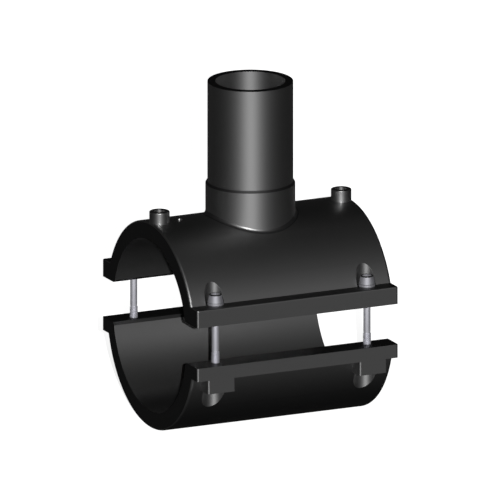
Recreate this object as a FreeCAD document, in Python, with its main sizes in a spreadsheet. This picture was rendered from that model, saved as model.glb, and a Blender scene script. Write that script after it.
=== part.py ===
# Spigot tapping saddle for a plastic main pipe, welded on by the heating wire in its upper half.
#
# Frame: millimetres, X along the main pipe, Z up along the branch. The origin lies on the main
# pipe's axis, under the middle of the branch. The lower half hangs open by half_opening, as it is
# before the four screws are tightened; when they are, its bore and the upper one share one axis.
import FreeCAD, Part
import math
import os

import Sketcher

VECTOR = FreeCAD.Vector
UP = VECTOR(0, 0, 1)

doc = FreeCAD.newDocument("tapping_saddle")
sheet = doc.addObject("Spreadsheet::Sheet", "Sizes")

# Driving dimensions: alias, value, what it is
DRIVING = [
    ("pipe_diameter", 125.0, "outside of the main pipe, and bore of both halves"),
    ("shell_wall", 13.0, "wall of both half shells"),
    ("saddle_length", 163.0, "length along the main pipe"),
    ("flange_reach", 6.2, "flanges beyond the shell, on either side"),
    ("upper_flange_rise", 15.4, "underside of the upper flange over the pipe axis"),
    ("upper_flange_thickness", 13.2, "upper flange"),
    ("lower_flange_drop", 10.8, "top of the lower flange under the lower bore's axis"),
    ("lower_flange_thickness", 10.1, "lower flange"),
    ("half_opening", 4.5, "how far the lower half still has to rise"),
    ("shell_end_radius", 2.0, "outer edge of the shell's ends"),
    ("flange_corner_radius", 1.5, "upright edges of flanges and nut blocks"),
    ("flange_edge_radius", 1.0, "top edge of the upper flange"),
    ("bore_chamfer", 2.0, "lengthways edges of both bores"),
    ("branch_diameter", 63.0, "outside of the branch spigot"),
    ("branch_wall", 5.8, "wall of the branch spigot"),
    ("branch_height", 98.8, "end of the spigot over the crest"),
    ("collar_step", 1.5, "thicker foot of the branch, on the radius"),
    ("collar_height", 21.8, "top of the collar's straight side over the crest"),
    ("collar_chamfer", 2.2, "height of the collar's sloped shoulder"),
    ("collar_root_radius", 2.5, "fillet between collar and shell"),
    ("terminal_margin", 7.9, "terminals from the ends of the saddle"),
    ("shroud_diameter", 15.0, "terminal shroud, outside"),
    ("shroud_bore", 8.3, "terminal shroud, inside"),
    ("shroud_height", 8.4, "terminal shroud over the crest"),
    ("shroud_rim_radius", 0.6, "edge of the shroud's rim"),
    ("well_depth", 12.9, "depth of the terminal's well"),
    ("contact_diameter", 4.0, "terminal contact"),
    ("contact_recess", 2.4, "contact below the shroud's rim"),
    ("stem_diameter", 2.0, "stem of the contact, down to the wire"),
    ("indicator_margin", 16.1, "fusion indicator from the left terminal"),
    ("indicator_diameter", 3.8, "fusion indicator"),
    ("indicator_length", 10.0, "fusion indicator"),
    ("indicator_proud", 1.4, "fusion indicator over the crest"),
    ("indicator_cushion", 0.6, "free depth under the indicator"),
    ("screw_end_margin", 20.1, "screws from the ends of the saddle"),
    ("screw_side_margin", 11.4, "screws from the faces of the flanges"),
    ("screw_length", 65.0, "clamp screw under its head"),
    ("thread_diameter", 6.0, "clamp screw, over the thread"),
    ("thread_length", 28.5, "threaded end of the clamp screw"),
    ("shank_diameter", 5.3, "reduced shank of the clamp screw"),
    ("head_diameter", 9.4, "clamp screw head, at its top"),
    ("head_flare", 1.1, "wider foot of the head, on the radius"),
    ("head_height", 6.2, "clamp screw head"),
    ("head_edge", 0.4, "bevel round the top of the head"),
    ("socket_width", 5.0, "hexagon socket across flats"),
    ("socket_depth", 3.0, "hexagon socket"),
    ("washer_diameter", 12.0, "washer"),
    ("washer_thickness", 1.9, "washer"),
    ("washer_gap", 0.2, "between the washer and the thread, on the radius"),
    ("screw_clearance", 0.3, "round the thread in both flanges, on the radius"),
    ("pocket_diameter", 15.0, "tool pocket beside the upper shell"),
    ("pocket_inset", 1.3, "tool pocket's axis, inboard of the screw"),
    ("block_width", 22.8, "nut block along the pipe"),
    ("block_height", 10.3, "nut block under the lower flange"),
    ("nut_width", 10.0, "nut across flats"),
    ("nut_height", 5.0, "nut"),
    ("nut_recess", 0.2, "nut inside the face of its block"),
    ("nut_thread_gap", 0.05, "between the nut and the thread, on the radius"),
    ("nut_side_gap", 0.1, "between the nut and its pocket, on each flat"),
    ("access_diameter", 18.0, "pocket beside the lower shell, under the block"),
    ("access_inset", 2.3, "that pocket's axis, inboard of the screw"),
    ("fit_gap", 0.05, "round a piece set into the saddle, on the radius"),
    ("wire_width", 0.9, "heating wire, square section"),
    ("wire_margin", 4.3, "innermost turn of the wire, outside the branch's bore"),
    ("wire_pitch", 4.0, "from turn to turn"),
    ("wire_full_turns", 3.0, "turns that go all the way round"),
]
for line_number, (alias, number, note) in enumerate(DRIVING, start=1):
    sheet.set(f"A{line_number}", alias)
    sheet.set(f"B{line_number}", str(number))
    sheet.setAlias(f"B{line_number}", alias)
    sheet.set(f"C{line_number}", note)
doc.recompute()

# Sizes that follow from them, as expressions
BORE = "Sizes.pipe_diameter / 2"
CREST = f"({BORE} + Sizes.shell_wall)"
MID_WALL = f"({BORE} + Sizes.shell_wall / 2)"
HALF_LENGTH = "Sizes.saddle_length / 2"
FRONT = f"({CREST} + Sizes.flange_reach)"
UPPER_UNDERSIDE = "Sizes.upper_flange_rise"
UPPER_TOP = "(Sizes.upper_flange_rise + Sizes.upper_flange_thickness)"
LOWER_TOP = "(-Sizes.lower_flange_drop)"
LOWER_UNDERSIDE = f"({LOWER_TOP} - Sizes.lower_flange_thickness)"
BLOCK_UNDERSIDE = f"({LOWER_UNDERSIDE} - Sizes.block_height)"
BRANCH_RADIUS = "Sizes.branch_diameter / 2"
BRANCH_BORE = f"({BRANCH_RADIUS} - Sizes.branch_wall)"
BRANCH_TOP = f"({CREST} + Sizes.branch_height)"
COLLAR_RADIUS = f"({BRANCH_RADIUS} + Sizes.collar_step)"
COLLAR_TOP = f"({CREST} + Sizes.collar_height)"
SHROUD_TOP = f"({CREST} + Sizes.shroud_height)"
WELL_FLOOR = f"({SHROUD_TOP} - Sizes.well_depth)"
WIRE_TOP = f"({BORE} + Sizes.wire_width)"
TERMINAL_X = f"({HALF_LENGTH} - Sizes.terminal_margin)"
INDICATOR_X = f"({TERMINAL_X} - Sizes.indicator_margin)"
INDICATOR_TOP = f"({CREST} + Sizes.indicator_proud)"
INDICATOR_HOLE = "(Sizes.indicator_diameter + 2 * Sizes.fit_gap)"
SCREW_X = f"({HALF_LENGTH} - Sizes.screw_end_margin)"
SCREW_Y = f"({FRONT} - Sizes.screw_side_margin)"
SCREW_HOLE = "(Sizes.thread_diameter + 2 * Sizes.screw_clearance)"
SCREW_SEAT = f"({UPPER_TOP} + Sizes.washer_thickness)"
NUT_POCKET = "(Sizes.nut_width + 2 * Sizes.nut_side_gap)"
NUT_POCKET_DEPTH = "(Sizes.nut_height + Sizes.nut_recess)"
NUT_UNDERSIDE = f"({BLOCK_UNDERSIDE} - Sizes.half_opening + Sizes.nut_recess)"

# The four corners that carry a screw: left and right along X, front and rear along Y
CORNERS = {
    "front_left": (-1, -1),
    "front_right": (1, -1),
    "rear_left": (-1, 1),
    "rear_right": (1, 1),
}
ENDS = {"left": -1, "right": 1}


def measure(expression):
    """Value of an expression, in millimetres."""
    return float(sheet.evalExpression(expression))


def signed(sign, expression):
    """The expression on the side that sign gives."""
    return f"({expression})" if sign > 0 else f"(-({expression}))"


# Sketch helpers
def new_body(name):
    body = doc.addObject("PartDesign::Body", name)
    body.Label = name
    body.AllowCompound = True
    return body


def new_sketch(body, name, plane, lift=None):
    """Sketch on one of the body's own origin planes, moved along its normal by an expression."""
    sketch = body.newObject("Sketcher::SketchObject", name)
    for feature in body.Origin.OriginFeatures:
        if feature.Role == plane:
            sketch.AttachmentSupport = (feature, "")
    sketch.MapMode = "FlatFace"
    if lift is not None:
        sketch.setExpression(".AttachmentOffset.Base.z", lift)
    return sketch


def bind(sketch, kind, places, expression):
    """Add a sized constraint and tie it to the sheet."""
    index = sketch.addConstraint(Sketcher.Constraint(kind, *places, measure(expression)))
    sketch.setExpression(f"Constraints[{index}]", expression)


def pin_point(sketch, item, point, across, up):
    """Hold a point at a place; None keeps it on that axis of the sketch."""
    if across is None and up is None:
        sketch.addConstraint(Sketcher.Constraint("Coincident", item, point, -1, 1))
        return
    if across is None:
        sketch.addConstraint(Sketcher.Constraint("PointOnObject", item, point, -2))
    else:
        bind(sketch, "DistanceX", (-1, 1, item, point), across)
    if up is None:
        sketch.addConstraint(Sketcher.Constraint("PointOnObject", item, point, -1))
    else:
        bind(sketch, "DistanceY", (-1, 1, item, point), up)


def spot(across, up):
    """First guess for a sketch point."""
    return VECTOR(measure(across) if across else 0, measure(up) if up else 0, 0)


def outline(sketch, corners):
    """Closed outline of straight edges through corners given as pairs of expressions."""
    first = sketch.GeometryCount
    count = len(corners)
    for k, corner in enumerate(corners):
        following = corners[(k + 1) % count]
        sketch.addGeometry(Part.LineSegment(spot(*corner), spot(*following)), False)
    for k in range(count):
        joined = ("Coincident", first + k, 2, first + (k + 1) % count, 1)
        sketch.addConstraint(Sketcher.Constraint(*joined))
    for k, corner in enumerate(corners):
        pin_point(sketch, first + k, 1, *corner)


def block_outline(sketch, low, high):
    """Rectangle between two opposite corners."""
    outline(sketch, [low, (high[0], low[1]), high, (low[0], high[1])])


def ring(sketch, across, up, diameter):
    """Circle of a given diameter round a place."""
    circle = Part.Circle(spot(across, up), UP, measure(diameter) / 2)
    item = sketch.addGeometry(circle, False)
    pin_point(sketch, item, 3, across, up)
    bind(sketch, "Diameter", (item,), diameter)


def hexagon(sketch, across, up, width):
    """Regular hexagon of a given width across its flats, on a construction circle."""
    centre = spot(across, up)
    corner_radius = f"({width}) / sqrt(3)"
    reach = measure(corner_radius)
    tips = [centre + VECTOR(reach * math.cos(k * math.pi / 3), reach * math.sin(k * math.pi / 3), 0)
            for k in range(6)]
    first = sketch.GeometryCount
    for k in range(6):
        sketch.addGeometry(Part.LineSegment(tips[k], tips[(k + 1) % 6]), False)
    circle = sketch.addGeometry(Part.Circle(centre, UP, reach), True)
    pin_point(sketch, circle, 3, across, up)
    bind(sketch, "Radius", (circle,), corner_radius)
    for k in range(6):
        joined = ("Coincident", first + k, 2, first + (k + 1) % 6, 1)
        sketch.addConstraint(Sketcher.Constraint(*joined))
        sketch.addConstraint(Sketcher.Constraint("PointOnObject", first + k, 1, circle))
    for k in range(1, 6):
        sketch.addConstraint(Sketcher.Constraint("Equal", first, first + k))
    sketch.addConstraint(Sketcher.Constraint("Horizontal", first + 1))


def ring_section(sketch):
    """Lengthways section of a shell over the axis, with its two outer corners rounded."""
    radius = "Sizes.shell_end_radius"
    length, bore, crest, r = (measure(t) for t in (HALF_LENGTH, BORE, CREST, radius))
    line, turn = Part.LineSegment, Part.ArcOfCircle
    right = Part.Circle(VECTOR(length - r, crest - r, 0), UP, r)
    left = Part.Circle(VECTOR(r - length, crest - r, 0), UP, r)
    bottom, near_end, near_arc, top, far_arc, far_end = sketch.addGeometry([
        line(VECTOR(-length, bore, 0), VECTOR(length, bore, 0)),
        line(VECTOR(length, bore, 0), VECTOR(length, crest - r, 0)),
        turn(right, 0, math.pi / 2),
        line(VECTOR(length - r, crest, 0), VECTOR(r - length, crest, 0)),
        turn(left, math.pi / 2, math.pi),
        line(VECTOR(-length, crest - r, 0), VECTOR(-length, bore, 0)),
    ], False)
    sketch.addConstraint([
        Sketcher.Constraint("Coincident", bottom, 2, near_end, 1),
        Sketcher.Constraint("Coincident", bottom, 1, far_end, 2),
        Sketcher.Constraint("Vertical", near_end),
        Sketcher.Constraint("Vertical", far_end),
        Sketcher.Constraint("Horizontal", top),
        Sketcher.Constraint("Tangent", near_end, 2, near_arc, 1),
        Sketcher.Constraint("Tangent", near_arc, 2, top, 1),
        Sketcher.Constraint("Tangent", top, 2, far_arc, 1),
        Sketcher.Constraint("Tangent", far_arc, 2, far_end, 1),
    ])
    pin_point(sketch, bottom, 1, f"-{HALF_LENGTH}", BORE)
    pin_point(sketch, bottom, 2, HALF_LENGTH, BORE)
    bind(sketch, "DistanceY", (-1, 1, top, 1), CREST)
    bind(sketch, "Radius", (near_arc,), radius)
    bind(sketch, "Radius", (far_arc,), radius)


# Feature helpers
def extrude(body, kind, name, sketch, length, flipped=False, symmetric=False):
    """Pad or Pocket of a sketch; flipped turns it to the other side of the sketch."""
    base = body.Tip
    before = base.Shape.Volume if base is not None and hasattr(base, "Shape") else 0.0
    feature = body.newObject(f"PartDesign::{kind}", name)
    feature.Profile = sketch
    feature.Reversed = flipped
    feature.SideType = "Symmetric" if symmetric else "One side"
    feature.setExpression("Length", length)
    sketch.Visibility = False
    return checked(feature, before, kind == "Pad")


def revolve(body, name, sketch, axis="V_Axis", angle=360.0, flipped=False, cuts=False):
    """Turn of a sketch round one of its own axes."""
    base = body.Tip
    before = base.Shape.Volume if base is not None and hasattr(base, "Shape") else 0.0
    feature = body.newObject("PartDesign::Groove" if cuts else "PartDesign::Revolution", name)
    feature.Profile = sketch
    feature.ReferenceAxis = (sketch, [axis])
    feature.Angle = angle
    feature.Reversed = flipped
    sketch.Visibility = False
    return checked(feature, before, not cuts)


def checked(feature, before, grows):
    """Recompute, and stop if a feature adds or removes nothing."""
    doc.recompute()
    change = feature.Shape.Volume - before
    if abs(change) < 1e-3 or (change > 0) != grows:
        raise RuntimeError(f"{feature.Name} changed the volume by {change:.3f}")
    return feature


def probes(edge):
    """Three points spread along an edge."""
    span = edge.LastParameter - edge.FirstParameter
    return [edge.valueAt(edge.FirstParameter + share * span) for share in (0.1, 0.5, 0.9)]


def near(a, b, slack=0.01):
    return abs(a - b) < slack


def dress(body, kind, name, size, chosen):
    """Fillet or Chamfer on every edge whose three probes pass the test."""
    base = body.Tip
    names = []
    for number, edge in enumerate(base.Shape.Edges, start=1):
        if all(chosen(point) for point in probes(edge)):
            names.append(f"Edge{number}")
    if not names:
        raise RuntimeError(f"{name} found no edge")
    feature = body.newObject(f"PartDesign::{kind}", name)
    feature.Base = (base, names)
    feature.setExpression("Radius" if kind == "Fillet" else "Size", size)
    doc.recompute()
    return feature


# What both halves share: two flanges with rounded upright edges, and the shell between them
def flanges(body, low, high):
    """Flange on either side between two levels, rooted in the middle of the shell's wall."""
    root = f"sqrt(({MID_WALL})^2 - max(abs({low}); abs({high}))^2)"
    section = new_sketch(body, f"{body.Name}_flange_section", "YZ_Plane")
    for side in (-1, 1):
        block_outline(section, (signed(side, root), low), (signed(side, FRONT), high))
    extrude(body, "Pad", f"{body.Name}_flanges", section, "Sizes.saddle_length", symmetric=True)
    half_length, front = measure(HALF_LENGTH), measure(FRONT)
    dress(body, "Fillet", f"{body.Name}_flange_corners", "Sizes.flange_corner_radius",
          lambda p: near(abs(p.x), half_length) and near(abs(p.y), front))


def shell(body, side, level):
    """Half turn of the wall, trimmed where the flanges end, with its bore's edges chamfered."""
    section = new_sketch(body, f"{body.Name}_wall_section", "XY_Plane")
    ring_section(section)
    revolve(body, f"{body.Name}_shell", section, "H_Axis", 180.0, flipped=side < 0)
    trim = new_sketch(body, f"{body.Name}_trim_outline", "XY_Plane", level)
    along, across = "Sizes.saddle_length", f"2 * {FRONT}"
    block_outline(trim, (f"-{along}", f"-{across}"), (along, across))
    extrude(body, "Pocket", f"{body.Name}_shell_trim", trim, f"abs({level})", flipped=side < 0)
    edge, bore = measure(level), measure(BORE)
    dress(body, "Chamfer", f"{body.Name}_bore_edges", "Sizes.bore_chamfer",
          lambda p: near(p.z, edge) and near(math.hypot(p.y, p.z), bore))


# Upper half: shell, flanges, branch, terminal shrouds, screw pockets
def upper_flanges_and_shell(body):
    flanges(body, UPPER_UNDERSIDE, UPPER_TOP)
    top, front = measure(UPPER_TOP), measure(FRONT)
    dress(body, "Fillet", "flange_top_edges", "Sizes.flange_edge_radius",
          lambda p: near(p.z, top) and near(abs(p.y), front))
    shell(body, 1, UPPER_UNDERSIDE)


def branch(body):
    """Collar and spigot turned round the branch axis, then bored into the main pipe's space."""
    foot = f"sqrt(({MID_WALL})^2 - ({COLLAR_RADIUS})^2)"
    profile = new_sketch(body, "branch_profile", "XZ_Plane")
    outline(profile, [
        (BRANCH_BORE, foot),
        (COLLAR_RADIUS, foot),
        (COLLAR_RADIUS, COLLAR_TOP),
        (BRANCH_RADIUS, f"{COLLAR_TOP} + Sizes.collar_chamfer"),
        (BRANCH_RADIUS, BRANCH_TOP),
        (BRANCH_BORE, BRANCH_TOP),
    ])
    revolve(body, "branch", profile)
    mouth = new_sketch(body, "branch_bore_circle", "XY_Plane", BRANCH_TOP)
    ring(mouth, None, None, f"2 * {BRANCH_BORE}")
    extrude(body, "Pocket", "branch_bore", mouth, BRANCH_TOP)
    run = new_sketch(body, "main_bore_circle", "YZ_Plane")
    ring(run, None, None, "Sizes.pipe_diameter")
    extrude(body, "Pocket", "main_bore", run, "Sizes.saddle_length", symmetric=True)
    collar, bore, crest = measure(COLLAR_RADIUS), measure(BORE), measure(CREST)
    dress(body, "Fillet", "collar_root", "Sizes.collar_root_radius",
          lambda p: near(math.hypot(p.x, p.y), collar) and bore < p.z < crest + 0.01)


def terminals(body):
    """Shrouds on the crest with their wells, and the hole for each contact's stem."""
    shrouds = new_sketch(body, "shroud_circles", "XY_Plane", SHROUD_TOP)
    wells = new_sketch(body, "well_circles", "XY_Plane", SHROUD_TOP)
    stems = new_sketch(body, "stem_circles", "XY_Plane", SHROUD_TOP)
    for side in ENDS.values():
        middle = signed(side, TERMINAL_X)
        ring(shrouds, middle, None, "Sizes.shroud_diameter")
        ring(wells, middle, None, "Sizes.shroud_bore")
        ring(stems, middle, None, "(Sizes.stem_diameter + 2 * Sizes.fit_gap)")
    extrude(body, "Pad", "shrouds", shrouds, f"{SHROUD_TOP} - {MID_WALL}", flipped=True)
    extrude(body, "Pocket", "wells", wells, "Sizes.well_depth")
    extrude(body, "Pocket", "stem_holes", stems, f"{SHROUD_TOP} - {WIRE_TOP}")
    rim, radius = measure(SHROUD_TOP), measure("Sizes.shroud_diameter / 2")
    terminal = measure(TERMINAL_X)
    dress(body, "Fillet", "shroud_rims", "Sizes.shroud_rim_radius",
          lambda p: near(p.z, rim) and near(math.hypot(abs(p.x) - terminal, p.y), radius))


def indicator_hole(body):
    mouth = new_sketch(body, "indicator_circle", "XY_Plane", INDICATOR_TOP)
    ring(mouth, signed(-1, INDICATOR_X), None, INDICATOR_HOLE)
    extrude(body, "Pocket", "indicator_hole", mouth,
            "Sizes.indicator_length + Sizes.indicator_cushion")


def upper_screw_places(body):
    """Tool pockets down the shell's side to the flange, and the screws' holes through it."""
    pockets = new_sketch(body, "tool_pocket_circles", "XY_Plane", UPPER_TOP)
    holes = new_sketch(body, "upper_hole_circles", "XY_Plane", UPPER_TOP)
    for along, across in CORNERS.values():
        inboard = f"{SCREW_Y} - Sizes.pocket_inset"
        ring(pockets, signed(along, SCREW_X), signed(across, inboard), "Sizes.pocket_diameter")
        ring(holes, signed(along, SCREW_X), signed(across, SCREW_Y), SCREW_HOLE)
    extrude(body, "Pocket", "tool_pockets", pockets, CREST, flipped=True)
    extrude(body, "Pocket", "upper_screw_holes", holes, "2 * Sizes.upper_flange_thickness")


def upper_saddle(wire):
    """Moulded upper half, with the wire's groove cut by the wire itself."""
    body = new_body("upper_moulding")
    upper_flanges_and_shell(body)
    branch(body)
    terminals(body)
    indicator_hole(body)
    upper_screw_places(body)
    grooved = doc.addObject("Part::Cut", "upper_saddle")
    grooved.Label = "upper_saddle"
    grooved.Base = body
    grooved.Tool = wire
    return grooved


# Lower half: shell, flanges, nut blocks
def lower_flanges_and_shell(body):
    flanges(body, LOWER_UNDERSIDE, LOWER_TOP)
    shell(body, -1, LOWER_TOP)


def nut_blocks(body):
    outlines = new_sketch(body, "nut_block_outlines", "XY_Plane", LOWER_UNDERSIDE)
    root = f"sqrt(({MID_WALL})^2 - ({BLOCK_UNDERSIDE})^2)"
    for along, across in CORNERS.values():
        middle = signed(along, SCREW_X)
        low = (f"{middle} - Sizes.block_width / 2", signed(across, root))
        high = (f"{middle} + Sizes.block_width / 2", signed(across, FRONT))
        block_outline(outlines, low, high)
    extrude(body, "Pad", "nut_blocks", outlines, "Sizes.block_height", flipped=True)
    screw_x, half_block = measure(SCREW_X), measure("Sizes.block_width / 2")
    front = measure(FRONT)
    dress(body, "Fillet", "nut_block_corners", "Sizes.flange_corner_radius",
          lambda p: near(abs(abs(p.x) - screw_x), half_block) and near(abs(p.y), front))


def lower_screw_places(body):
    """Screw holes, hexagon pockets for the nuts and the room for a nut spanner below them."""
    holes = new_sketch(body, "lower_hole_circles", "XY_Plane", LOWER_TOP)
    nuts = new_sketch(body, "nut_pocket_hexagons", "XY_Plane", BLOCK_UNDERSIDE)
    access = new_sketch(body, "access_circles", "XY_Plane", BLOCK_UNDERSIDE)
    for along, across in CORNERS.values():
        x, y = signed(along, SCREW_X), signed(across, SCREW_Y)
        ring(holes, x, y, SCREW_HOLE)
        hexagon(nuts, x, y, NUT_POCKET)
        ring(access, x, signed(across, f"{SCREW_Y} - Sizes.access_inset"), "Sizes.access_diameter")
    depth = "Sizes.lower_flange_thickness + Sizes.block_height"
    extrude(body, "Pocket", "lower_screw_holes", holes, depth)
    extrude(body, "Pocket", "nut_pockets", nuts, NUT_POCKET_DEPTH, flipped=True)
    extrude(body, "Pocket", "access_pockets", access, CREST)


def lower_saddle():
    body = new_body("lower_saddle")
    lower_flanges_and_shell(body)
    nut_blocks(body)
    lower_screw_places(body)
    body.setExpression(".Placement.Base.z", "-Sizes.half_opening")
    return body


# Fasteners: screws with a hexagon socket, washers under their heads, nuts in the blocks
def place_at_corner(body, along, across, height):
    body.setExpression(".Placement.Base.x", signed(along, SCREW_X))
    body.setExpression(".Placement.Base.y", signed(across, SCREW_Y))
    body.setExpression(".Placement.Base.z", height)


def clamp_screw(name, along, across):
    """Turned screw, zero at the underside of its head."""
    body = new_body(name)
    profile = new_sketch(body, f"{name}_profile", "XZ_Plane")
    head, edge = "Sizes.head_diameter / 2", "Sizes.head_edge"
    shank, thread = "Sizes.shank_diameter / 2", "Sizes.thread_diameter / 2"
    thread_start = "Sizes.thread_length - Sizes.screw_length"
    bevel = "(Sizes.thread_diameter - Sizes.shank_diameter)"
    outline(profile, [
        (None, "-Sizes.screw_length"),
        (f"{thread} - {bevel}", "-Sizes.screw_length"),
        (thread, f"{bevel} - Sizes.screw_length"),
        (thread, f"{thread_start} - {bevel}"),
        (shank, thread_start),
        (shank, None),
        (f"{head} + Sizes.head_flare", None),
        (head, f"Sizes.head_height - {edge}"),
        (f"{head} - {edge}", "Sizes.head_height"),
        (None, "Sizes.head_height"),
    ])
    revolve(body, f"{name}_turned", profile)
    socket = new_sketch(body, f"{name}_socket_outline", "XY_Plane", "Sizes.head_height")
    hexagon(socket, None, None, "Sizes.socket_width")
    extrude(body, "Pocket", f"{name}_socket", socket, "Sizes.socket_depth")
    place_at_corner(body, along, across, SCREW_SEAT)
    return body


def washer(name, along, across):
    body = new_body(name)
    face = new_sketch(body, f"{name}_face", "XY_Plane")
    ring(face, None, None, "Sizes.washer_diameter")
    ring(face, None, None, "(Sizes.thread_diameter + 2 * Sizes.washer_gap)")
    extrude(body, "Pad", f"{name}_disc", face, "Sizes.washer_thickness")
    place_at_corner(body, along, across, UPPER_TOP)
    return body


def nut(name, along, across):
    """Hexagon nut with the corners of both faces turned off at 30 degrees."""
    body = new_body(name)
    face = new_sketch(body, f"{name}_face", "XY_Plane")
    hexagon(face, None, None, "Sizes.nut_width")
    ring(face, None, None, "(Sizes.thread_diameter + 2 * Sizes.nut_thread_gap)")
    extrude(body, "Pad", f"{name}_prism", face, "Sizes.nut_height")
    corner, flat = "Sizes.nut_width / sqrt(3)", "Sizes.nut_width / 2"
    turned = new_sketch(body, f"{name}_turned_corners", "XZ_Plane")
    drop = f"(({corner}) - ({flat})) * tan(30 deg)"
    clear = f"2 * ({corner}) - ({flat})"
    outline(turned, [
        (flat, None),
        (clear, None),
        (clear, f"2 * {drop}"),
    ])
    outline(turned, [
        (flat, "Sizes.nut_height"),
        (clear, "Sizes.nut_height"),
        (clear, f"Sizes.nut_height - 2 * {drop}"),
    ])
    revolve(body, f"{name}_chamfers", turned, cuts=True)
    place_at_corner(body, along, across, NUT_UNDERSIDE)
    return body


# Electrics: contacts in their shrouds, the heating wire on the bore, the fusion indicator
def terminal_contact(name, side):
    """Contact with a rounded tip and a thinner stem that reaches the wire."""
    body = new_body(name)
    profile = new_sketch(body, f"{name}_profile", "XZ_Plane")
    contact, stem = "Sizes.contact_diameter / 2", "Sizes.stem_diameter / 2"
    tip = f"{SHROUD_TOP} - Sizes.contact_recess"
    nose = "Sizes.contact_diameter / 8"
    outline(profile, [
        (None, WIRE_TOP),
        (stem, WIRE_TOP),
        (stem, WELL_FLOOR),
        (contact, WELL_FLOOR),
        (contact, f"{tip} - {nose}"),
        (f"{contact} - {nose}", tip),
        (None, tip),
    ])
    revolve(body, f"{name}_turned", profile)
    body.setExpression(".Placement.Base.x", signed(side, TERMINAL_X))
    return body


def fusion_indicator():
    body = new_body("fusion_indicator")
    face = new_sketch(body, "indicator_face", "XY_Plane", INDICATOR_TOP)
    ring(face, None, None, "Sizes.indicator_diameter")
    extrude(body, "Pad", "indicator_pin", face, "Sizes.indicator_length", flipped=True)
    body.setExpression(".Placement.Base.x", signed(-1, INDICATOR_X))
    return body


def band(radius, width, start, stop):
    """Flat arc-shaped strip round the branch axis, angles in radians."""
    edges = []
    for reach in (radius - width / 2, radius + width / 2):
        circle = Part.Circle(VECTOR(0, 0, 0), UP, reach)
        edges.append(Part.ArcOfCircle(circle, start, stop).toShape())
    inner, outer = edges
    ends = [Part.LineSegment(inner.Vertexes[k].Point, outer.Vertexes[k].Point).toShape()
            for k in (0, 1)]
    return Part.Face(Part.Wire(Part.__sortEdges__([inner, ends[1], outer, ends[0]])))


def strip(x_from, x_to, y_from, y_to):
    """Flat straight strip."""
    low, high = min(x_from, x_to), max(x_from, x_to)
    return Part.makePlane(high - low, y_to - y_from, VECTOR(low, y_from, 0))


def heating_wire():
    """One wire that goes to and fro round the branch, wrapped onto the bore.

    It starts at the right contact, passes through the gap in the turns to the innermost one,
    steps outwards beside the gap after each turn, and leaves the outermost, half turn for the
    left contact.
    """
    width = measure("Sizes.wire_width")
    pitch = measure("Sizes.wire_pitch")
    first = measure(f"{BRANCH_BORE} + Sizes.wire_margin")
    turns = int(measure("Sizes.wire_full_turns"))
    terminal = measure(TERMINAL_X)
    bore = measure(BORE)
    last = first + turns * pitch
    side_of_gap = pitch

    def opening(radius):
        """Angle at which a turn stops, so that every turn ends in line beside the gap."""
        return math.asin(side_of_gap / radius)

    flat = []
    for k in range(turns):
        radius = first + k * pitch
        start = opening(radius) if k else 0
        flat.append(band(radius, width, start, 2 * math.pi - opening(radius)))
        step_from = radius * math.cos(opening(radius)) - width / 2
        step_to = (radius + pitch) * math.cos(opening(radius + pitch)) + width / 2
        middle = side_of_gap if k % 2 else -side_of_gap
        flat.append(strip(step_from, step_to, middle - width / 2, middle + width / 2))
    if turns % 2:
        flat.append(band(last, width, math.pi, 2 * math.pi - opening(last)))
    else:
        flat.append(band(last, width, opening(last), math.pi))
    flat.append(strip(first - width / 2, terminal + width, -width / 2, width / 2))
    flat.append(strip(-terminal - width, -last + width / 2, -width / 2, width / 2))
    lift, height = VECTOR(0, 0, bore / 2), VECTOR(0, 0, bore)
    walls = [face.translated(lift).extrude(height) for face in flat]
    curtain = walls[0].fuse(walls[1:]).removeSplitter()
    length = 2 * terminal + 4 * width
    start = VECTOR(-length / 2, 0, 0)
    skin = Part.makeCylinder(bore + width, length, start, VECTOR(1, 0, 0))
    skin = skin.cut(Part.makeCylinder(bore, length, start, VECTOR(1, 0, 0)))
    wire = doc.addObject("Part::Feature", "heating_wire")
    wire.Label = "heating_wire"
    wire.Shape = curtain.common(skin)
    wire.Placement = FreeCAD.Placement()
    return wire


# Build every piece
pieces = [lower_saddle(), fusion_indicator()]
for corner, (along, across) in CORNERS.items():
    pieces.append(clamp_screw(f"clamp_screw_{corner}", along, across))
    pieces.append(washer(f"washer_{corner}", along, across))
    pieces.append(nut(f"nut_{corner}", along, across))
for end, side in ENDS.items():
    pieces.append(terminal_contact(f"terminal_contact_{end}", side))
wire = heating_wire()
pieces += [wire, upper_saddle(wire)]
doc.recompute()

# Refuse to write anything from a failed or broken object
for item in doc.Objects:
    if "Invalid" in item.State or "Error" in item.State:
        raise RuntimeError(f"{item.Label} failed: {item.State}")
for piece in pieces:
    if piece.Shape.isNull() or not piece.Shape.isValid() or len(piece.Shape.Solids) != 1:
        raise RuntimeError(f"{piece.Label} is not one valid solid")

os.makedirs("parts", exist_ok=True)
for piece in pieces:
    piece.Shape.exportStep(os.path.join("parts", f"{piece.Label}.step"))
    box = piece.Shape.BoundBox
    print(f"{piece.Label}: {piece.Shape.Volume / 1000:.2f} cm3, "
          f"{box.XLength:.1f} x {box.YLength:.1f} x {box.ZLength:.1f} mm")
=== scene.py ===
# Spigot tapping saddle: black polyethylene mouldings, the heating wire that welds it on, and clamp screws.
import math

import bpy
import bmesh
from mathutils import Matrix, Vector


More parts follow.
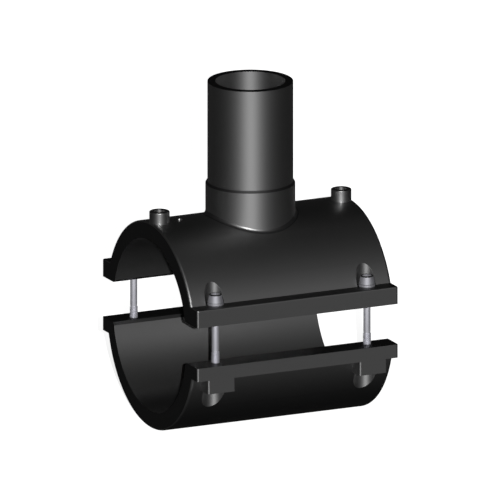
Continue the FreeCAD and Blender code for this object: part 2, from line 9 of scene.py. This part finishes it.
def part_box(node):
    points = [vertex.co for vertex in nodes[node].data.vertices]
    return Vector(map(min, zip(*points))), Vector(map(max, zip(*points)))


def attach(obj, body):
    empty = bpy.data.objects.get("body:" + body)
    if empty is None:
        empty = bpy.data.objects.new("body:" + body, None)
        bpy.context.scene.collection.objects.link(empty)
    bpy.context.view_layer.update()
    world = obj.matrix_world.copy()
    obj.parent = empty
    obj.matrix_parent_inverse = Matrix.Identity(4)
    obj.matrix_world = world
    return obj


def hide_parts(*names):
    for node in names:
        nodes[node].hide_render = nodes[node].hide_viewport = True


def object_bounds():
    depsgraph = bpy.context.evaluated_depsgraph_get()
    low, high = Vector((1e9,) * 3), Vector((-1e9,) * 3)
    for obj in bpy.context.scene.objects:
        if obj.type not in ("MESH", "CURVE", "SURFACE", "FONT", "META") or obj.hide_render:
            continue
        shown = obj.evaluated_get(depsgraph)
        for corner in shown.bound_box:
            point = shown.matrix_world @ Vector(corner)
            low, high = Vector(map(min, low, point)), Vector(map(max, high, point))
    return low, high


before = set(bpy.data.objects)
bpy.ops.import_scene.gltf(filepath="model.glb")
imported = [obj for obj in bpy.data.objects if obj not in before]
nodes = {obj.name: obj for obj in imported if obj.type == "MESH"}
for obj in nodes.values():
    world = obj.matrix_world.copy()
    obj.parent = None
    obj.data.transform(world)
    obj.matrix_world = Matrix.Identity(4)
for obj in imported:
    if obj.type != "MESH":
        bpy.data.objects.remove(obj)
cad_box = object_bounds()
scene = bpy.context.scene

# Camera: parallel projection from 25 degrees left of the front and 15 degrees up, as the picture was taken.
# One picture width spans 366.6 mm, and the middle of the picture lies on the branch axis, 45.7 mm up.
VIEW_TURN = -25.2
VIEW_RISE = 15.2
PICTURE_WIDTH = 0.3666
PICTURE_PIXELS = 500
SHIFT_PIXELS = -0.34
CAMERA_DISTANCE = 1.5
AIM = Vector((0.0, 0.0, 0.0457))


def outwards(turn, rise):
    """Direction away from the object, by degrees from the front and up."""
    turn, rise = math.radians(turn), math.radians(rise)
    return Vector((math.sin(turn) * math.cos(rise), -math.cos(turn) * math.cos(rise), math.sin(rise)))


camera_data = bpy.data.cameras.new("camera")
camera_data.type = "ORTHO"
camera_data.ortho_scale = PICTURE_WIDTH
camera_data.shift_x = SHIFT_PIXELS / PICTURE_PIXELS
camera_data.clip_end = 10
camera = bpy.data.objects.new("camera", camera_data)
scene.collection.objects.link(camera)
camera.location = AIM + CAMERA_DISTANCE * outwards(VIEW_TURN, VIEW_RISE)
camera.rotation_euler = outwards(VIEW_TURN, VIEW_RISE).to_track_quat("Z", "Y").to_euler()
scene.camera = camera
scene.view_settings.view_transform = "Standard"


# Studio: a pale floor under the object, a white world behind it, and a lamp a degree beside the camera,
# which draws the black plastic by its gloss. A weaker lamp opposite the camera does the same for the back.
def make_lamp(name, turn, rise, level, width):
    """Lamp as far away as the sun, from a direction in degrees, with its level and its width in degrees."""
    lamp = bpy.data.lights.new(name, "SUN")
    lamp.energy = level
    lamp.angle = math.radians(width)
    lamp_object = bpy.data.objects.new(name, lamp)
    scene.collection.objects.link(lamp_object)
    lamp_object.location = AIM + outwards(turn, rise)
    lamp_object.rotation_euler = outwards(turn, rise).to_track_quat("Z", "Y").to_euler()


make_lamp("key_lamp", VIEW_TURN + 1.1, VIEW_RISE + 0.1, level=4.0, width=0.15)
make_lamp("back_lamp", VIEW_TURN + 180, -VIEW_RISE, level=1.1, width=1)


class Socket:
    """One output of a node tree, on which Python's operators add Math nodes."""

    def __init__(self, tree, output):
        self.tree = tree
        self.output = output

    def math(self, operation, *values):
        node = self.tree.nodes.new("ShaderNodeMath")
        node.operation = operation
        for slot, value in zip(node.inputs, values):
            if isinstance(value, Socket):
                self.tree.links.new(value.output, slot)
            else:
                slot.default_value = value
        return Socket(self.tree, node.outputs[0])

    def __add__(self, other):
        return self.math("ADD", self, other)

    __radd__ = __add__

    def __sub__(self, other):
        return self.math("SUBTRACT", self, other)

    def __rsub__(self, other):
        return self.math("SUBTRACT", other, self)

    def __mul__(self, other):
        return self.math("MULTIPLY", self, other)

    __rmul__ = __mul__

    def __truediv__(self, other):
        return self.math("DIVIDE", self, other)

    def __pow__(self, other):
        return self.math("POWER", self, other)

    def __abs__(self):
        return self.math("ABSOLUTE", self)

    def least(self, other):
        return self.math("MINIMUM", self, other)

    def above(self, edge, softness):
        """0 below the edge and 1 above it, with a soft step."""
        node = self.tree.nodes.new("ShaderNodeMapRange")
        node.interpolation_type = "SMOOTHSTEP"
        self.tree.links.new(self.output, node.inputs["Value"])
        node.inputs["From Min"].default_value = edge - softness
        node.inputs["From Max"].default_value = edge + softness
        return Socket(self.tree, node.outputs["Result"])

    def below(self, edge, softness):
        return 1 - self.above(edge, softness)

    def parts(self):
        """The three numbers of a vector."""
        node = self.tree.nodes.new("ShaderNodeSeparateXYZ")
        self.tree.links.new(self.output, node.inputs[0])
        return [Socket(self.tree, output) for output in node.outputs]


class Tree:
    """A node tree that is built by short calls."""

    def __init__(self, tree):
        self.tree = tree

    def node(self, kind, settings=None, output=0, **sockets):
        """Add a node: its settings first, then the values or links of its sockets, by name or as _number."""
        node = self.tree.nodes.new(kind)
        for key, value in (settings or {}).items():
            setattr(node, key, value)
        for key, value in sockets.items():
            slot = node.inputs[int(key[1:]) if key[1:].isdigit() else key.replace("_", " ")]
            for item in value if isinstance(value, list) else [value]:
                if isinstance(item, Socket):
                    self.tree.links.new(item.output, slot)
                else:
                    slot.default_value = item
        return Socket(self.tree, node.outputs[output])


class Finish(Tree):
    """A material with one Principled shader."""

    def __init__(self, name, **constants):
        self.material = bpy.data.materials.new(name)
        self.material.use_nodes = True
        super().__init__(self.material.node_tree)
        self.shader = self.tree.nodes["Principled BSDF"]
        for socket, value in constants.items():
            self.shader.inputs[socket.replace("_", " ")].default_value = value
        self.place = self.node("ShaderNodeTexCoord", output="Object")

    def noise(self, size, detail=2.0):
        """Noise from 0 to 1 whose features are about size metres wide."""
        return self.node("ShaderNodeTexNoise", Vector=self.place, Scale=1 / size, Detail=detail)

    def blend(self, share, first, second):
        return self.node("ShaderNodeMix", {"data_type": "RGBA"}, output=2, _0=share, _6=first, _7=second)

    def relief(self, height, depth, edge):
        """Relief of a height from 0 to 1 on edges that are rounded a little."""
        edges = self.node("ShaderNodeBevel", {"samples": 6}, Radius=edge)
        bumps = self.node("ShaderNodeBump", Strength=1.0, Distance=depth, Height=height, Normal=edges)
        self.drive("Normal", bumps)

    def drive(self, socket, value):
        self.tree.links.new(value.output, self.shader.inputs[socket])

    def cover(self, *names):
        """Give CAD nodes this finish."""
        for name in names:
            nodes[name].data.materials.clear()
            nodes[name].data.materials.append(self.material)


# The world is white to the camera, and nearly dark to all else, so that the black plastic isn't veiled.
DIM_SKY = 0.004
world = bpy.data.worlds.new("studio")
scene.world = world
world.use_nodes = True
sky = Tree(world.node_tree)
sky_level = DIM_SKY + (1 - DIM_SKY) * sky.node("ShaderNodeLightPath", output="Is Camera Ray")
background = sky.tree.nodes["Background"]
background.inputs["Color"].default_value = (1, 1, 1, 1)
sky.tree.links.new(sky_level.output, background.inputs["Strength"])

# The floor is white from above, and glows a little less near the object, where the lamp adds its light. From
# below it lets the eye and the low lamp through, and the plastic sees it dark.
FLOOR_REACH = 6
FLOOR_GAP = 0.0002
PAPER = (0.85, 0.85, 0.85, 1)
PAPER_TO_GLOSS = (0.01, 0.01, 0.01, 1)
NEAR_GLOW = 0.82
FULL_GLOW_FROM = 0.24
GLOW_STEP = 0.12
floor_mesh = bpy.data.meshes.new("floor")
floor_shape = bmesh.new()
bmesh.ops.create_grid(floor_shape, x_segments=1, y_segments=1, size=FLOOR_REACH,
                      matrix=Matrix.Translation((0, 0, cad_box[0][2] - FLOOR_GAP)))
floor_shape.to_mesh(floor_mesh)
floor_shape.free()
floor = bpy.data.objects.new("floor", floor_mesh)
scene.collection.objects.link(floor)
paper = Finish("white_paper", Roughness=0.9, Emission_Color=(1, 1, 1, 1))
paper_seen = paper.node("ShaderNodeLightPath", output="Is Camera Ray")
paper.drive("Base Color", paper.blend(paper_seen, PAPER_TO_GLOSS, PAPER))
paper_reach = paper.node("ShaderNodeVectorMath", {"operation": "LENGTH"}, output="Value", _0=paper.place)
paper_glow = NEAR_GLOW + (1 - NEAR_GLOW) * paper_reach.above(FULL_GLOW_FROM, GLOW_STEP)
paper.drive("Emission Strength", paper_seen * paper_glow)
paper_back = paper.node("ShaderNodeNewGeometry", output="Backfacing")
paper_shaded = paper.node("ShaderNodeLightPath", output="Is Shadow Ray")
paper_mix = paper.node("ShaderNodeMixShader", _0=paper_back.math("MAXIMUM", paper_back, paper_shaded),
                       _1=Socket(paper.tree, paper.shader.outputs[0]),
                       _2=paper.node("ShaderNodeBsdfTransparent"))
paper.tree.links.new(paper_mix.output, paper.tree.nodes["Material Output"].inputs["Surface"])
floor_mesh.materials.append(paper.material)

# Lower saddle, the half shell that hangs from the screws: a thick injection moulding in black polyethylene.
# Its skin is satin with the faint grain of the mould, and its edges are just off sharp. As in the picture,
# the gloss is weaker on ends, tops and underside, and on the shoulder and root of the upper half's collar.
SQUARE_ON = 0.93
END_FACE = cad_box[1][0] - 0.0002
CREST_HEIGHT = 0.05
MOUTH_HEIGHT = 0.16
SHOULDER_FOOT = 0.0974
SHOULDER_TOP = 0.0990
ROOT_INSIDE = 0.0329
ROOT_OUTSIDE = 0.0354
polyethylene = Finish("black_polyethylene", IOR=1.5, Coat_Roughness=0.42, Coat_IOR=2.7)
skin_patches = polyethylene.noise(0.035, 3)
skin_grain = polyethylene.noise(0.0006, 2)
skin_x, skin_y, skin_z = polyethylene.place.parts()
skin_reach = (skin_x ** 2.0 + skin_y ** 2.0) ** 0.5
facing_x, _, facing_z = polyethylene.node("ShaderNodeTexCoord", output="Normal").parts()
dull_ends = abs(facing_x).above(SQUARE_ON, 0.04) * abs(skin_x).above(END_FACE, 0.0001)
dull_by_height = 1 - 0.5 * skin_z.above(CREST_HEIGHT, 0.01) + 0.5 * skin_z.above(MOUTH_HEIGHT, 0.01)
dull_tops = facing_z.above(SQUARE_ON, 0.06) * dull_by_height
dull_belly = (0 - facing_z).above(0.55, 0.30)
dull_shoulder = skin_z.above(SHOULDER_FOOT, 0.0002) * skin_z.below(SHOULDER_TOP, 0.0003)
dull_shoulder = dull_shoulder * facing_z.above(0.4, 0.1)
dull_root = skin_reach.above(ROOT_INSIDE, 0.0002) * skin_reach.below(ROOT_OUTSIDE, 0.0004)
dull_root = dull_root * facing_z.above(0.1, 0.1)
skin_gloss = 1 - 0.85 * dull_ends - 0.95 * dull_tops - 0.95 * dull_belly
polyethylene.drive("Coat Weight", skin_gloss - 0.7 * dull_shoulder - 0.5 * dull_root)
polyethylene.drive("Base Color", polyethylene.blend(skin_patches, (0.0008, 0.0008, 0.0009, 1),
                                                    (0.0016, 0.0016, 0.0017, 1)))
polyethylene.drive("Roughness", 0.41 + 0.03 * skin_patches + 0.02 * skin_grain)
polyethylene.relief(skin_grain, 0.000024, 0.0004)
polyethylene.cover("lower_saddle")

# Nuts: zinc-plated steel hexagons, 10 mm across the flats, with the corners of both faces turned off. Each
# is pressed from below into its block of the lower saddle, and stays with it.
CORNERS = ("front_left", "front_right", "rear_left", "rear_right")


def foot(name):
    """Middle of the underside of a CAD node."""
    low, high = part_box(name)
    return ((low[0] + high[0]) / 2, (low[1] + high[1]) / 2, low[2])


def tall(name):
    """Height of a CAD node."""
    low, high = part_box(name)
    return high[2] - low[2]


def turned(name, rows, columns=96, closed=False):
    """Mesh turned round Z from rows of radius and height; a radius may depend on the angle."""
    shape = bmesh.new()
    rings = []
    for radius, height in rows:
        ring = []
        for k in range(1 if radius == 0 else columns):
            angle = 2 * math.pi * k / columns
            reach = radius(angle) if callable(radius) else radius
            ring.append(shape.verts.new((reach * math.cos(angle), reach * math.sin(angle), height)))
        rings.append(ring)
    for low, high in zip(rings, rings[1:] + ([rings[0]] if closed else [])):
        for near in range(columns):
            far = (near + 1) % columns
            around = [low[near % len(low)], low[far % len(low)]]
            around += [high[far % len(high)], high[near % len(high)]]
            shape.faces.new(list(dict.fromkeys(around)))
    mesh = bpy.data.meshes.new(name)
    shape.to_mesh(mesh)
    shape.free()
    return mesh


def hexagon(width, limit=1.0):
    """Radius of a hexagon by the angle, from its width across the flats, and cut at a limit."""
    return lambda angle: min(width / 2 / math.cos(angle % (math.pi / 3) - math.pi / 6), limit)


class Recipe(Tree):
    """A Geometry Nodes tree with named inputs, run on a mesh to make a plain piece."""

    def __init__(self, name, **sizes):
        self.name = name
        super().__init__(bpy.data.node_groups.new(name, "GeometryNodeTree"))
        interface = self.tree.interface
        interface.new_socket("Geometry", in_out="OUTPUT", socket_type="NodeSocketGeometry")
        interface.new_socket("Geometry", in_out="INPUT", socket_type="NodeSocketGeometry")
        for size, kind in dict(sizes, Finish="Material").items():
            interface.new_socket(size, in_out="INPUT", socket_type="NodeSocket" + kind)
        self.given = self.tree.nodes.new("NodeGroupInput")

    def size(self, name):
        return Socket(self.tree, self.given.outputs[name])

    def end(self, geometry):
        """Close the tree: real geometry with its finish."""
        real = self.node("GeometryNodeRealizeInstances", Geometry=geometry)
        done = self.node("GeometryNodeSetMaterial", Geometry=real, Material=self.size("Finish"))
        self.tree.links.new(done.output, self.tree.nodes.new("NodeGroupOutput").inputs[0])

    def make(self, name, start, finish, **sizes):
        """Plain object that the tree makes of a start mesh, with its normals outwards."""
        source = bpy.data.objects.new(name + "_start", start)
        scene.collection.objects.link(source)
        modifier = source.modifiers.new(self.name, "NODES")
        modifier.node_group = self.tree
        values = dict(sizes, Finish=finish.material)
        for item in self.tree.interface.items_tree:
            if item.in_out == "INPUT" and item.name in values:
                modifier[item.identifier] = values[item.name]
        ready = source.evaluated_get(bpy.context.evaluated_depsgraph_get())
        mesh = bpy.data.meshes.new_from_object(ready)
        mesh.name = name
        source.modifiers.clear()
        bpy.data.objects.remove(source)
        return piece_of(name, mesh)


def piece_of(name, mesh):
    """Object at the origin, its doubles merged, faces outwards and hard edges kept."""
    shape = bmesh.new()
    shape.from_mesh(mesh)
    bmesh.ops.remove_doubles(shape, verts=shape.verts, dist=2e-7)
    bmesh.ops.recalc_face_normals(shape, faces=shape.faces)
    shape.to_mesh(mesh)
    shape.free()
    mesh.shade_smooth()
    mesh.set_sharp_from_angle(angle=math.radians(32))
    piece = bpy.data.objects.new(name, mesh)
    scene.collection.objects.link(piece)
    return piece


# A copy of one turned piece on each point of the start mesh
set_out = Recipe("set_out", Piece="Object")
set_out_piece = set_out.node("GeometryNodeObjectInfo", output="Geometry", Object=set_out.size("Piece"))
set_out.end(set_out.node("GeometryNodeInstanceOnPoints", Points=set_out.size("Geometry"),
                         Instance=set_out_piece))


def at_places(name, mesh, replaced, body, finish):
    """Copies of a mesh on the undersides of the CAD nodes that they replace, as one piece."""
    model = bpy.data.objects.new(name + "_model", mesh)
    scene.collection.objects.link(model)
    points = bpy.data.meshes.new(name + "_places")
    points.from_pydata([foot(node) for node in replaced], [], [])
    piece = set_out.make(name, points, finish, Piece=model)
    bpy.data.objects.remove(model)
    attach(piece, body)
    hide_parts(*replaced)


# Zinc plating, dull and slightly cloudy, with fine rings from turning round each screw's axis. As in the
# picture, its colour is painted lighter on the shanks as a painted highlight, and painted darker on the rim,
# the seat and the socket of each head as painted shade and shadow.
RING_PITCH = 0.0003
SCREW_FOOT = foot("clamp_screw_rear_right")
SCREW_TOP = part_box("clamp_screw_rear_right")[1][2]
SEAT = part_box("washer_rear_right")[1][2]
OPEN_SHANK = -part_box("lower_saddle")[1][2] - 0.0001
RIM_INSIDE = 0.0034
RIM_DEPTH = 0.0006
SOCKET_REACH = 0.0029
SOCKET_SHADE = 0.0022
SOCKET_END = 0.0037
zinc = Finish("zinc_plated_steel", Metallic=1.0)
zinc_clouds = zinc.noise(0.003, 3)
zinc_x, zinc_y, zinc_z = zinc.place.parts()
zinc_reach = ((abs(zinc_x) - SCREW_FOOT[0]) ** 2.0 + (abs(zinc_y) - SCREW_FOOT[1]) ** 2.0) ** 0.5
zinc_rings = zinc_reach.math("SINE", zinc_reach * (2 * math.pi / RING_PITCH))
zinc_rings = zinc_rings + zinc_z.math("SINE", zinc_z * (2 * math.pi / RING_PITCH))
# Painted highlight: the open shanks between the flanges get a lighter zinc colour that stands in for the
# light on them.
shank_painted_light = abs(zinc_z).below(OPEN_SHANK, 0.0004)
# Painted shade: a near-black colour on the rim of the head top and in the socket, and a painted shadow line
# at the seat where the head meets the washer.
rim_painted_shade = zinc_z.above(SCREW_TOP - RIM_DEPTH, 0.0001) * zinc_reach.above(RIM_INSIDE, 0.0003)
seat_painted_shadow = zinc_z.above(SEAT - 0.0001, 0.00008) * zinc_z.below(SEAT + 0.0003, 0.0001)
socket_painted_shade = zinc_reach.below(SOCKET_REACH, 0.0001) * zinc_z.below(SCREW_TOP - SOCKET_SHADE, 0.0008)
socket_painted_shade = socket_painted_shade * zinc_z.above(SCREW_TOP - SOCKET_END, 0.0002)
zinc_plating = zinc.blend(zinc_clouds, (0.33, 0.33, 0.35, 1), (0.38, 0.38, 0.41, 1))
zinc_painted_highlight = zinc.blend(zinc_clouds, (0.56, 0.56, 0.60, 1), (0.62, 0.62, 0.66, 1))
zinc_colour_and_painted_highlight = zinc.blend(shank_painted_light, zinc_plating, zinc_painted_highlight)
head_painted_shade = rim_painted_shade + 0.5 * seat_painted_shadow + 0.6 * socket_painted_shade
zinc.drive("Base Color", zinc.blend(head_painted_shade, zinc_colour_and_painted_highlight, (0.04, 0.04, 0.04, 1)))
zinc.drive("Roughness", 0.68 + 0.06 * zinc_clouds)
zinc.relief(zinc_rings + zinc.noise(0.0004), 0.0000015, 0.00015)

NUT_WIDTH = 0.010
NUT_HEIGHT = tall("nut_rear_right")
NUT_HOLE = 0.00305
NUT_BEVEL = 0.0004
NUT_CUTS = (0, 0.00015, 0.0003, 0.00045)
nut_rows = [(hexagon(NUT_WIDTH, NUT_WIDTH / 2 + cut * math.sqrt(3)), cut) for cut in NUT_CUTS]
nut_rows += [(radius, NUT_HEIGHT - cut) for radius, cut in reversed(nut_rows)]
nut_rows += [
    (NUT_HOLE + NUT_BEVEL, NUT_HEIGHT),
    (NUT_HOLE, NUT_HEIGHT - NUT_BEVEL),
    (NUT_HOLE, NUT_BEVEL),
    (NUT_HOLE + NUT_BEVEL, 0),
]
at_places("nuts", turned("nut", nut_rows, closed=True), [f"nut_{place}" for place in CORNERS],
          "lower_half", zinc)

# Upper saddle, moulded in one with the branch spigot and the two terminal shrouds: the same polyethylene as
# the lower half.
polyethylene.cover("upper_saddle")

# Heating wire: 0.9 mm resistance wire, bare and brownish, laid to and fro round the branch in a groove of
# the bore. It comes in from the right contact, doubles back beside the gap after each of three turns, and
# ends at the left contact after half a turn more.
wire_metal = Finish("resistance_wire", Metallic=1.0)
wire_clouds = wire_metal.noise(0.006, 3)
wire_metal.drive("Base Color", wire_metal.blend(wire_clouds, (0.50, 0.33, 0.21, 1), (0.62, 0.42, 0.27, 1)))
wire_metal.drive("Roughness", 0.35 + 0.15 * wire_clouds)
WIRE = 0.0009
WIRE_BORE = 0.0625
WIRE_GAP = 0.004
WIRE_BEND = 0.0008
WIRE_STEP = 0.0012
TURN_RADII = (0.030, 0.034, 0.038, 0.042)
FULL_TURN = 2 * math.pi


def turn_of_wire(radius, start, stop, count=120):
    """Points along an arc round the branch, between two angles."""
    angles = [start + (stop - start) * k / count for k in range(count + 1)]
    return [(radius * math.cos(angle), radius * math.sin(angle), 0) for angle in angles]


terminal = foot("terminal_contact_right")[0]
gap_angles = [math.asin(WIRE_GAP / radius) for radius in TURN_RADII]
wire_route = [(terminal + WIRE / 2, 0, 0)]
wire_route += turn_of_wire(TURN_RADII[0], 0, FULL_TURN - gap_angles[0])
wire_route += turn_of_wire(TURN_RADII[1], FULL_TURN - gap_angles[1], gap_angles[1])
wire_route += turn_of_wire(TURN_RADII[2], gap_angles[2], FULL_TURN - gap_angles[2])
wire_route += turn_of_wire(TURN_RADII[3], FULL_TURN - gap_angles[3], math.pi)
wire_route += [(-terminal - WIRE / 2, 0, 0)]
flat_wire = bpy.data.meshes.new("flat_wire")
flat_wire.from_pydata(wire_route, [(k, k + 1) for k in range(len(wire_route) - 1)], [])

# The route is lifted onto the bore, whose axis is X, and gets a round section
winding = Recipe("winding", Bore="Float", Wire="Float", Bend="Float")
winding_line = winding.node("GeometryNodeMeshToCurve", Mesh=winding.size("Geometry"))
winding_line = winding.node("GeometryNodeFilletCurve", {"mode": "POLY"}, Curve=winding_line, Count=4,
                            Radius=winding.size("Bend"), Limit_Radius=True)
winding_line = winding.node("GeometryNodeResampleCurve", {"mode": "LENGTH"}, Curve=winding_line,
                            Length=WIRE_STEP)
winding_x, winding_y, _ = winding.node("GeometryNodeInputPosition").parts()
winding_level = ((winding.size("Bore") + winding.size("Wire") / 2) ** 2.0 - winding_y ** 2.0) ** 0.5
winding_place = winding.node("ShaderNodeCombineXYZ", X=winding_x, Y=winding_y, Z=winding_level)
winding_line = winding.node("GeometryNodeSetPosition", Geometry=winding_line, Position=winding_place)
winding_section = winding.node("GeometryNodeCurvePrimitiveCircle", Resolution=12,
                               Radius=winding.size("Wire") / 2)
winding.end(winding.node("GeometryNodeCurveToMesh", Curve=winding_line, Fill_Caps=True,
                         Profile_Curve=winding_section))
wire = winding.make("wound_wire", flat_wire, wire_metal, Bore=WIRE_BORE, Wire=WIRE, Bend=WIRE_BEND)
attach(wire, "upper_half")
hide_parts("heating_wire")


# Terminal contacts: turned brass pins with a rounded nose, on a thinner stem that is soldered to the wire.
# They stand deep in the wells of the shrouds.
def corner(middle, height, size, start, stop):
    """Rows along a rounded corner, from one direction to another in degrees."""
    angles = [math.radians(start + (stop - start) * k / 4) for k in range(5)]
    return [(middle + size * math.cos(angle), height + size * math.sin(angle)) for angle in angles]


brass = Finish("contact_brass", Metallic=1.0)
brass_clouds = brass.noise(0.002, 3)
brass.drive("Base Color", brass.blend(brass_clouds, (0.70, 0.53, 0.27, 1), (0.82, 0.66, 0.38, 1)))
brass.drive("Roughness", 0.24 + 0.12 * brass_clouds)
CONTACT = 0.002
CONTACT_EDGE = 0.0002
CONTACT_NOSE = 0.0006
CONTACT_TIP = tall("terminal_contact_right")
STEM = 0.001
STEM_TOP = 0.0076
contact_rows = [(0, 0), (STEM, 0), (STEM, STEM_TOP)]
contact_rows += corner(CONTACT - CONTACT_EDGE, STEM_TOP + CONTACT_EDGE, CONTACT_EDGE, -90, 0)
contact_rows += corner(CONTACT - CONTACT_NOSE, CONTACT_TIP - CONTACT_NOSE, CONTACT_NOSE, 0, 90)
contact_rows += [(0, CONTACT_TIP)]
at_places("contacts", turned("contact", contact_rows, 48),
          ["terminal_contact_left", "terminal_contact_right"], "upper_half", brass)

# Fusion indicator: a loose polyethylene pin in a blind hole of the crest. It stands out a little, with a
# rounded top, and is pushed up when the welded plastic swells.
PIN = 0.0019
PIN_LENGTH = tall("fusion_indicator")
PIN_EDGE = 0.0002
PIN_DOME = 0.0007
pin_rows = [(0, 0)] + corner(PIN - PIN_EDGE, PIN_EDGE, PIN_EDGE, -90, 0)
pin_rows += corner(PIN - PIN_DOME, PIN_LENGTH - PIN_DOME, PIN_DOME, 0, 90) + [(0, PIN_LENGTH)]
at_places("indicator_pin", turned("indicator", pin_rows, 48), ["fusion_indicator"],
          "fusion_indicator", polyethylene)

# Washers: plain zinc-plated rings, 12 mm wide and stamped, so that their edges are rounded. One lies under
# each screw head, on the upper flange.
WASHER = 0.006
WASHER_HOLE = 0.0032
WASHER_HEIGHT = tall("washer_rear_right")
WASHER_EDGE = 0.0003
WASHER_LIP = 0.0002
washer_rows = corner(WASHER - WASHER_EDGE, WASHER_EDGE, WASHER_EDGE, -90, 0)
washer_rows += corner(WASHER - WASHER_EDGE, WASHER_HEIGHT - WASHER_EDGE, WASHER_EDGE, 0, 90)
washer_rows += corner(WASHER_HOLE + WASHER_LIP, WASHER_HEIGHT - WASHER_LIP, WASHER_LIP, 90, 180)
washer_rows += corner(WASHER_HOLE + WASHER_LIP, WASHER_LIP, WASHER_LIP, 180, 270)
at_places("washers", turned("washer", washer_rows, closed=True), [f"washer_{place}" for place in CORNERS],
          "upper_half", zinc)

# Clamp screws: zinc-plated steel with a rolled thread up to half their length, a reduced shank and a conical
# head with a hexagon socket. They hang in the upper flange and reach through the lower one into the nuts.
CORE = 0.00239
CREST = 0.003
PITCH = 0.001
POINT = 0.0005
RUN_OUT = 0.0006
SHANK = 0.00265
THREAD = 0.0285
UNDER_HEAD = SEAT - SCREW_FOOT[2]
FILLET = 0.0003
HEAD_FOOT = 0.0058
FOOT_BEVEL = 0.0002
HEAD = 0.0047
HEAD_TOP = tall("clamp_screw_rear_right")
HEAD_BEVEL = 0.0004
SOCKET_WIDTH = 0.005
SOCKET_BEVEL = 0.0002
SOCKET_DEPTH = 0.003
SOCKET_CONE = 0.0004
screw_rows = [
    (0, 0),
    (CORE - POINT, 0),
    (CORE, RUN_OUT),
    (CORE, THREAD - RUN_OUT),
    (SHANK, THREAD),
    (SHANK, UNDER_HEAD - FILLET),
    (SHANK + FILLET, UNDER_HEAD),
    (HEAD_FOOT - FOOT_BEVEL, UNDER_HEAD),
    (HEAD_FOOT, UNDER_HEAD + FOOT_BEVEL),
    (HEAD, HEAD_TOP - HEAD_BEVEL),
    (HEAD - HEAD_BEVEL, HEAD_TOP),
    (hexagon(SOCKET_WIDTH + 2 * SOCKET_BEVEL), HEAD_TOP),
    (hexagon(SOCKET_WIDTH), HEAD_TOP - SOCKET_BEVEL),
    (hexagon(SOCKET_WIDTH), HEAD_TOP - SOCKET_DEPTH),
    (0, HEAD_TOP - SOCKET_DEPTH - SOCKET_CONE),
]

# The thread: a ridge wound round the core, which runs out over one turn at either end. The points of its
# section are shares of the depth outwards and of the pitch along the screw.
RIDGE = ((-0.15, 0.46), (1.0, 0.08), (1.0, -0.08), (-0.15, -0.46))
threading = Recipe("threading", Core="Float", Depth="Float", Pitch="Float", Length="Float", Lift="Float")
thread_pitch = threading.size("Pitch")
thread_turns = threading.size("Length") / thread_pitch
thread_line = threading.node("GeometryNodeCurveSpiral", Resolution=40, Reverse=True, Rotations=thread_turns,
                             Start_Radius=threading.size("Core"), End_Radius=threading.size("Core"),
                             Height=threading.size("Length"))
thread_start = threading.node("ShaderNodeCombineXYZ", Z=threading.size("Lift"))
thread_line = threading.node("GeometryNodeTransform", Geometry=thread_line, Translation=thread_start)
thread_line = threading.node("GeometryNodeSetCurveNormal", {"mode": "Z_UP"}, Curve=thread_line)
thread_share = threading.node("GeometryNodeSplineParameter", output="Factor")
thread_growth = (thread_share.least(1 - thread_share) * thread_turns).least(1.0)
thread_section = {}
for number, (out, along) in enumerate(RIDGE, start=1):
    thread_section[f"Point_{number}"] = threading.node(
        "ShaderNodeCombineXYZ", X=threading.size("Depth") * out, Y=thread_pitch * along)
thread_profile = threading.node("GeometryNodeCurvePrimitiveQuadrilateral", {"mode": "POINTS"},
                                **thread_section)
thread_ridge = threading.node("GeometryNodeCurveToMesh", Curve=thread_line, Fill_Caps=True,
                              Scale=thread_growth, Profile_Curve=thread_profile)
threading.end(threading.node("GeometryNodeJoinGeometry",
                             Geometry=[threading.size("Geometry"), thread_ridge]))
screw_model = threading.make("screw_model", turned("screw_blank", screw_rows), zinc, Core=CORE,
                             Depth=CREST - CORE, Pitch=PITCH, Length=THREAD - RUN_OUT, Lift=RUN_OUT / 2)
for corner_name in CORNERS:
    screw_mesh = screw_model.data.copy()
    screw_mesh.transform(Matrix.Translation(foot(f"clamp_screw_{corner_name}")))
    screw = bpy.data.objects.new(f"screw_{corner_name}_threaded", screw_mesh)
    scene.collection.objects.link(screw)
    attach(screw, f"screw_{corner_name}")
    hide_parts(f"clamp_screw_{corner_name}")
bpy.data.objects.remove(screw_model)
